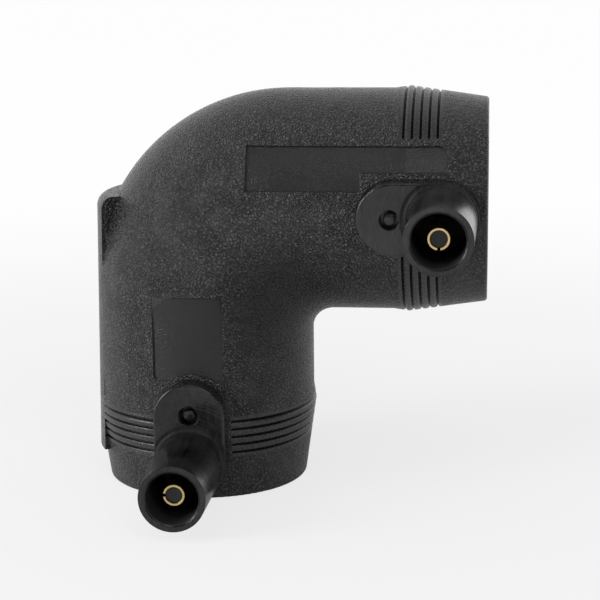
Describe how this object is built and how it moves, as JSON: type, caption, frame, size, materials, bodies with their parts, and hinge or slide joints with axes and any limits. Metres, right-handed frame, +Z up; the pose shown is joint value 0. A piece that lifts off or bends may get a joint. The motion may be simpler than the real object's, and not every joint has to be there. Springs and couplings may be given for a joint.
{
  "type": "electrofusion elbow",
  "caption": "Right-angle polyethylene electrofusion elbow: tapered pipe sockets with clamp ridges, a heating coil in each bore and shrouded contact pins.",
  "frame": {"origin": "centre of the lower socket's mouth, on the face that the elbow stands on", "axes": "+Z up along the lower arm, +X along the right arm towards its mouth, -Y the way the terminal shrouds point"},
  "size_m": [0.0784, 0.0678, 0.0785],
  "materials": {
    "polyethylene": "black polyethylene, fine spark-eroded grain outside, smooth on bosses, shrouds and bores",
    "indicator_polyethylene": "smooth black polyethylene",
    "contact_brass": "drawn brass, bright, a little dulled",
    "resistance_wire": "bare copper-nickel resistance wire"
  },
  "bodies": {
    "root": {"elbow_body": "polyethylene", "heating_wire": "resistance_wire", "right_contact_pin": "contact_brass", "lower_contact_pin": "contact_brass", "right_fusion_indicator": "indicator_polyethylene", "lower_fusion_indicator": "indicator_polyethylene"}
  },
  "joints": []
}
